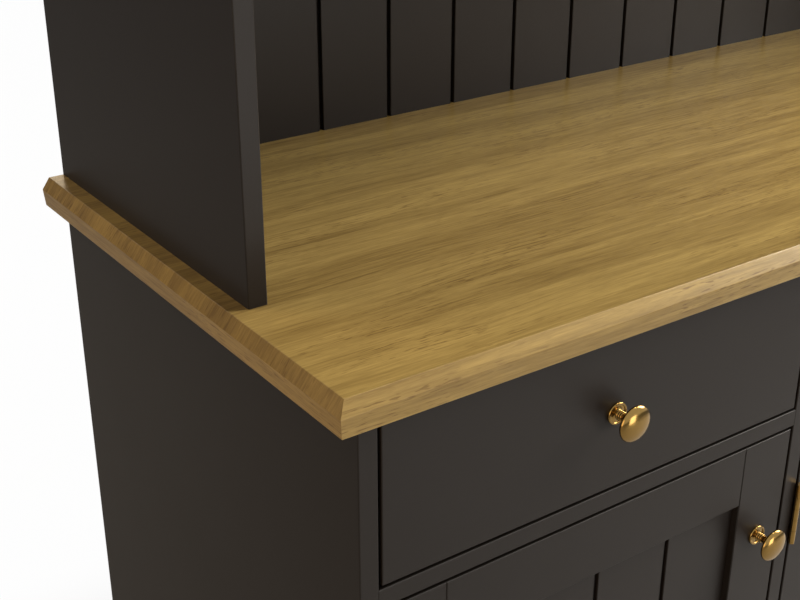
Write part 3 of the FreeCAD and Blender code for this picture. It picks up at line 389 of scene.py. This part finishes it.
# %% Make a screw
HEAD_RADIUS, HEAD_HEIGHT, HEAD_ROUND, SHANK_RADIUS = 0.004, 0.0024, 0.0007, 0.002
SLOT_WIDTH, SLOT_REACH, SLOT_DEPTH = 0.0009, 0.0024, 0.00144
SCREW_IN_KNOB = 0.0095
SCREW_SIDES = 48
NEARLY = 0.9  # share that tells the head's top from its sides, and its seat from the other faces


def add_block(low, high):
    """A block between two corners."""
    start_fresh()
    bpy.ops.mesh.primitive_cube_add(size=1, location=(Vector(low) + Vector(high)) / 2)
    block = bpy.context.object
    block.scale = Vector(high) - Vector(low)
    return settle(block, "cutter")


def make_screw(shank, name):
    """A pan-head screw whose seat is at the origin. Its head looks along +Y, and its shank points along -Y."""
    start_fresh()
    bpy.ops.mesh.primitive_cylinder_add(vertices=SCREW_SIDES, radius=HEAD_RADIUS, depth=HEAD_HEIGHT,
                                        location=(0, HEAD_HEIGHT / 2, 0), rotation=(math.pi / 2, 0, 0))
    screw = settle(bpy.context.object, name)
    bpy.ops.object.mode_set(mode="EDIT")
    pick(screw, "EDGE", lambda a, b: min(a.y, b.y) > NEARLY * HEAD_HEIGHT)
    bpy.ops.mesh.bevel(offset=HEAD_ROUND, segments=5)
    pick(screw, "FACE", lambda normal: normal.y < -NEARLY)
    bpy.ops.mesh.inset(thickness=HEAD_RADIUS - SHANK_RADIUS)
    bpy.ops.mesh.extrude_region_move(TRANSFORM_OT_translate={"value": (0, -shank, 0)})
    for half_x, half_z in ((SLOT_REACH, SLOT_WIDTH / 2), (SLOT_WIDTH / 2, SLOT_REACH)):
        slot = add_block((-half_x, HEAD_HEIGHT - SLOT_DEPTH, -half_z), (half_x, 2 * HEAD_HEIGHT, half_z))
        start_fresh()
        bpy.context.view_layer.objects.active = screw
        cut = screw.modifiers.new("driver_slot", "BOOLEAN")
        cut.operation, cut.solver, cut.object = "DIFFERENCE", "EXACT", slot
        bpy.ops.object.modifier_apply(modifier=cut.name)
        bpy.data.objects.remove(slot)
    screw.select_set(True)
    bpy.ops.object.shade_smooth_by_angle(angle=SMOOTH_UNDER)
    return screw


# %% Drive the screws
screws = []
for kind in ("drawer", "door"):
    nodes = [node for node in knob_seats if node.startswith(kind)]
    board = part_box(nodes[0])[1].y - HEAD_HEIGHT - knob_seats[nodes[0]].y
    screw_pattern = make_screw(board + SCREW_IN_KNOB, kind + "_screw_pattern")
    for node in nodes:
        screw = copy_to(screw_pattern, node + "_screw", knob_seats[node] + Vector((0, board, 0)))
        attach(screw, node.removesuffix("_knob"))
        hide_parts(node)
        screws.append(screw)
    bpy.data.objects.remove(screw_pattern)
print("screws:", [screw.name for screw in screws])

# %% [markdown]
# ## Charcoal paint
# The panels are sprayed with a warm dark grey in a satin sheen. A flat colour would look like plastic:
# real paint has a faint orange peel, clouds of slightly different depth, and gloss that varies a little.
# All three come from noise on Object coordinates, so they stay with the piece. The hutch's top panel is above
# the eye and gets only a flat undercoat of the same colour.

# %% Helpers for sheen and relief
def spread(tree, value, low, high, to_low=0.0, to_high=1.0):
    """A value's range from low to high, drawn out to a new range and held at its ends."""
    return add_node(tree, "ShaderNodeMapRange", {0: value, 1: low, 2: high, 3: to_low, 4: to_high}).outputs[0]


def relief(tree, height, strength, depth, invert=False):
    """The normal of a surface with a fine relief, its depth in metres."""
    settings = {"Height": height, "Strength": strength, "Distance": depth}
    return add_node(tree, "ShaderNodeBump", settings, invert=invert).outputs[0]


# %% Mix the charcoal paint
PAINT_COLOUR = (0.0166, 0.0127, 0.0104, 1)
PAINT_DEEP = (0.0149, 0.0114, 0.0093, 1)
CLOUDS_PER_METRE, PEEL_PER_METRE = 9.0, 700.0


def mix_paint(name, smooth, rough, mirror):
    """The charcoal paint, with the roughness of its smoothest and roughest clouds, and how much it mirrors."""
    material, tree, shader, at = new_finish(name)
    clouds = noise(tree, at, CLOUDS_PER_METRE, detail=3.0)
    peel = noise(tree, at, PEEL_PER_METRE, detail=2.0)
    feed(tree, shader, {"Base Color": blend_colours(tree, clouds, PAINT_DEEP, PAINT_COLOUR),
                        "Roughness": spread(tree, clouds, 0.0, 1.0, smooth, rough),
                        "Specular IOR Level": mirror,
                        "Normal": relief(tree, peel, strength=0.06, depth=0.0002)})
    return material


charcoal_paint = mix_paint("charcoal_paint", smooth=0.40, rough=0.44, mirror=0.25)
charcoal_undercoat = mix_paint("charcoal_undercoat", smooth=0.86, rough=0.94, mirror=0.05)
print("paints:", charcoal_paint.name, charcoal_undercoat.name)

# %% [markdown]
# ## Oak
# The worktop is oak under satin oil, glued up from long staves, with the grain along its length.
# Wood is a solid pattern: each stave has its own tone and its own stretch of grain, and streaks, fine fibres
# and short dark flecks run along it. Noise stretched along the board gives all of these, so the bevels cut
# through the same grain. A slow noise bends the lines a little, because no board is quite straight.
# The ends below the bevel are lipped with a strip whose grain runs front to back, so there the pattern is
# turned. On the narrow front band it is tipped upright, so that the band shows fine lines along its length.

# %% Helpers for grain
def stretched_noise(tree, at, grain, detail, rough=0.55):
    """Noise whose features per metre differ along, across and into the board."""
    scaled = add_node(tree, "ShaderNodeMapping", {"Vector": at, "Scale": grain}).outputs[0]
    settings = {"Vector": scaled, "Scale": 1.0, "Detail": detail, "Roughness": rough}
    return add_node(tree, "ShaderNodeTexNoise", settings).outputs[0]


def weighed(tree, *parts):
    """The sum of several values, each times its weight."""
    total = maths(tree, "MULTIPLY", *parts[0])
    for part in parts[1:]:
        total = maths(tree, "ADD", total, maths(tree, "MULTIPLY", *part))
    return total


def place_from(tree, inputs):
    """A place from its coordinates, by name or number. Those not given are zero."""
    return add_node(tree, "ShaderNodeCombineXYZ", inputs).outputs[0]


def place_where(tree, mask, inside, outside):
    """One place inside a mask and another outside it."""
    return add_node(tree, "ShaderNodeMix", {0: mask, 4: outside, 5: inside}, data_type="VECTOR").outputs[1]


def shifted(tree, at, shift):
    """A place moved by a shift."""
    return add_node(tree, "ShaderNodeVectorMath", {0: at, 1: shift}, operation="ADD").outputs[0]


# %% Turn the grain at the end and the front
LIPPING = 0.0022
BEVEL_WIDTH, BEVEL_HEIGHT = 0.0072, 0.0101
oak, tree, shader, at = new_finish("oiled_oak")
axes = add_node(tree, "ShaderNodeSeparateXYZ", {0: at}).outputs
from_end = maths(tree, "SUBTRACT", worktop_high.x, maths(tree, "ABSOLUTE", axes[0]))
from_front = maths(tree, "SUBTRACT", axes[1], worktop_low.y)
at_end = maths(tree, "LESS_THAN", from_end, LIPPING)
low_down = maths(tree, "LESS_THAN", axes[2], worktop_high.z - BEVEL_HEIGHT)
lipped = maths(tree, "MULTIPLY", at_end, low_down)
at_front = maths(tree, "LESS_THAN", from_front, maths(tree, "MINIMUM", from_end, BEVEL_WIDTH))
turned = place_from(tree, {0: axes[1], 1: axes[2], 2: axes[0]})
tipped = place_from(tree, {0: axes[0], 1: axes[2], 2: axes[1]})
at = place_where(tree, lipped, turned, at)
at = place_where(tree, at_front, tipped, at)
print("lipping:", LIPPING, "bevel:", BEVEL_WIDTH, BEVEL_HEIGHT)

# %% Glue up the staves
STAVE_WIDTH = 0.048
DRIFT_GRAIN = (5.0, 9.0, 5.0)
SWAY = 0.010
across = add_node(tree, "ShaderNodeSeparateXYZ", {0: at}).outputs[1]
stave = maths(tree, "FLOOR", maths(tree, "DIVIDE", across, STAVE_WIDTH))
lot = add_node(tree, "ShaderNodeTexWhiteNoise", {"W": stave}, noise_dimensions="1D").outputs["Value"]
at = shifted(tree, at, place_from(tree, {"X": lot}))
drift = maths(tree, "SUBTRACT", stretched_noise(tree, at, DRIFT_GRAIN, detail=1.0), 0.5)
at = shifted(tree, at, place_from(tree, {"Y": maths(tree, "MULTIPLY", drift, SWAY)}))
print("stave width:", STAVE_WIDTH)

# %% Grow the oak
OAK_LIGHT = (0.53, 0.368, 0.118, 1)
OAK_DARK = (0.225, 0.140, 0.038, 1)
OAK_FLECK = (0.165, 0.090, 0.023, 1)
# Features per metre along, across and into the board
BAND_GRAIN, STREAK_GRAIN, FIBRE_GRAIN = (1, 26, 8), (9, 150, 30), (24, 560, 60)
FLECK_GRAIN, PATCH_GRAIN, SEAM_GRAIN = (75, 700, 90), (6, 34, 10), (4, 230, 40)
bands = spread(tree, stretched_noise(tree, at, BAND_GRAIN, detail=1.0), 0.43, 0.57)
streaks = spread(tree, stretched_noise(tree, at, STREAK_GRAIN, detail=4.0, rough=0.65), 0.36, 0.64)
fibres = spread(tree, stretched_noise(tree, at, FIBRE_GRAIN, detail=3.0, rough=0.7), 0.34, 0.66)
flecks = spread(tree, stretched_noise(tree, at, FLECK_GRAIN, detail=1.0), 0.58, 0.68)
patches = spread(tree, stretched_noise(tree, at, PATCH_GRAIN, detail=2.0), 0.50, 0.60)
seams = spread(tree, stretched_noise(tree, at, SEAM_GRAIN, detail=1.0), 0.61, 0.66)
tone = weighed(tree, (bands, 0.26), (lot, 0.22), (streaks, 0.32), (fibres, 0.38), (seams, -0.18))
marks = weighed(tree, (flecks, 0.16), (maths(tree, "MULTIPLY", flecks, patches), 0.50))
wood = blend_colours(tree, tone, OAK_DARK, OAK_LIGHT)
feed(tree, shader, {"Base Color": blend_colours(tree, marks, wood, OAK_FLECK)})
print("oak:", oak.name)

# %% Oil the oak
feed(tree, shader, {"Roughness": spread(tree, fibres, 0.0, 1.0, 0.38, 0.30),
                    "Specular IOR Level": 0.22,
                    "Coat Weight": 0.25,
                    "Coat Roughness": 0.2,
                    "Normal": relief(tree, marks, strength=0.10, depth=0.0003, invert=True)})
print("oil on:", oak.name)

# %% [markdown]
# ## Pale hardwood, brass, steel and plastic
# The drawer boxes and their runners are plain lacquered hardwood, with grain along each board.
# Knobs and hinges are polished brass under clear lacquer, so their highlights are paler than the metal.
# Screws, plates and shelf pins are zinc-plated steel, and the glides and catches are moulded plastic.

# %% Saw the pale hardwood
HARDWOOD_LIGHT = (0.60, 0.45, 0.29, 1)
HARDWOOD_DARK = (0.46, 0.32, 0.19, 1)
# Features per metre along the grain, and across it
HARDWOOD_BANDS, HARDWOOD_FIBRES = (2.0, 45.0), (20.0, 900.0)


def pale_hardwood(name, along):
    """Lacquered hardwood with its grain along one axis: 0, 1 or 2."""
    material, tree, shader, at = new_finish(name)
    slow, fine = ([grain[0] if axis == along else grain[1] for axis in range(3)]
                  for grain in (HARDWOOD_BANDS, HARDWOOD_FIBRES))
    bands = stretched_noise(tree, at, slow, detail=4.0)
    fibres = stretched_noise(tree, at, fine, detail=2.0)
    tone = weighed(tree, (bands, 0.7), (fibres, 0.3))
    feed(tree, shader, {"Base Color": blend_colours(tree, tone, HARDWOOD_DARK, HARDWOOD_LIGHT),
                        "Roughness": spread(tree, fibres, 0.0, 1.0, 0.42, 0.58),
                        "Normal": relief(tree, fibres, strength=0.08, depth=0.0002)})
    return material


hardwood_along_x = pale_hardwood("pale_hardwood_x", 0)
hardwood_along_y = pale_hardwood("pale_hardwood_y", 1)
hardwood_along_z = pale_hardwood("pale_hardwood_z", 2)
print("hardwood:", hardwood_along_x.name, hardwood_along_y.name, hardwood_along_z.name)

# %% Polish the brass
BRASS_BRIGHT = (0.305, 0.188, 0.050, 1)
BRASS_DULL = (0.270, 0.163, 0.041, 1)
TARNISH_PER_METRE = 180.0
brass, tree, shader, at = new_finish("polished_brass")
tarnish = noise(tree, at, TARNISH_PER_METRE, detail=4.0)
feed(tree, shader, {"Base Color": blend_colours(tree, tarnish, BRASS_DULL, BRASS_BRIGHT),
                    "Metallic": 1.0,
                    "Roughness": spread(tree, tarnish, 0.0, 1.0, 0.14, 0.20),
                    "Coat Weight": 0.25,
                    "Coat Roughness": 0.06})
print("brass:", brass.name)

# %% Plate the steel
ZINC_PALE = (0.68, 0.68, 0.66, 1)
ZINC_GREY = (0.50, 0.50, 0.49, 1)
ZINC_CLOUDS_PER_METRE, SPANGLES_PER_METRE = 240.0, 900.0
zinc_steel, tree, shader, at = new_finish("zinc_plated_steel")
spangles = add_node(tree, "ShaderNodeTexVoronoi", {"Vector": at, "Scale": SPANGLES_PER_METRE}).outputs["Distance"]
clouds = noise(tree, at, ZINC_CLOUDS_PER_METRE, detail=3.0)
feed(tree, shader, {"Base Color": blend_colours(tree, clouds, ZINC_GREY, ZINC_PALE),
                    "Metallic": 1.0,
                    "Roughness": spread(tree, spangles, 0.0, 1.0, 0.28, 0.42)})
print("steel:", zinc_steel.name)

# %% Mould the plastic
PLASTIC_PALE = (0.034, 0.034, 0.035, 1)
PLASTIC_DARK = (0.022, 0.022, 0.023, 1)
GRIT_PER_METRE = 2200.0
dark_plastic, tree, shader, at = new_finish("dark_plastic")
grit = noise(tree, at, GRIT_PER_METRE, detail=2.0)
feed(tree, shader, {"Base Color": blend_colours(tree, grit, PLASTIC_DARK, PLASTIC_PALE),
                    "Roughness": 0.55,
                    "Normal": relief(tree, grit, strength=0.25, depth=0.0001)})
print("plastic:", dark_plastic.name)

# %% [markdown]
# ## Every solid gets its finish
# The part's own record says which finish each node has. Hardwood also needs a direction: the sides and the
# runners are sawn along the depth, the backs and bottoms along the width, and the dowels stand upright.

# %% Hand out the finishes
FINISHES = {"charcoal_paint": charcoal_paint, "oak": oak, "brass": brass,
            "zinc_steel": zinc_steel, "dark_plastic": dark_plastic}


def finish_of(node, slot_name):
    """The material of a node, from its name and the finish in its record."""
    if node == "hutch_top":
        return charcoal_undercoat
    if slot_name != "pale_hardwood":
        return FINISHES[slot_name]
    if node == "hutch_dowels":
        return hardwood_along_z
    if node.endswith(("_back", "_bottom")):
        return hardwood_along_x
    return hardwood_along_y


for row in frame["record"]["subparts"]:
    solid = frame["nodes"][row["node"]]
    for place in solid.material_slots:
        place.material = finish_of(row["node"], row["material_slot"])
for knob in knobs:
    knob.data.materials.append(brass)
for screw in screws:
    screw.data.materials.append(zinc_steel)

# %% Set the view transform, then finish
scene.view_settings.view_transform = "Standard"
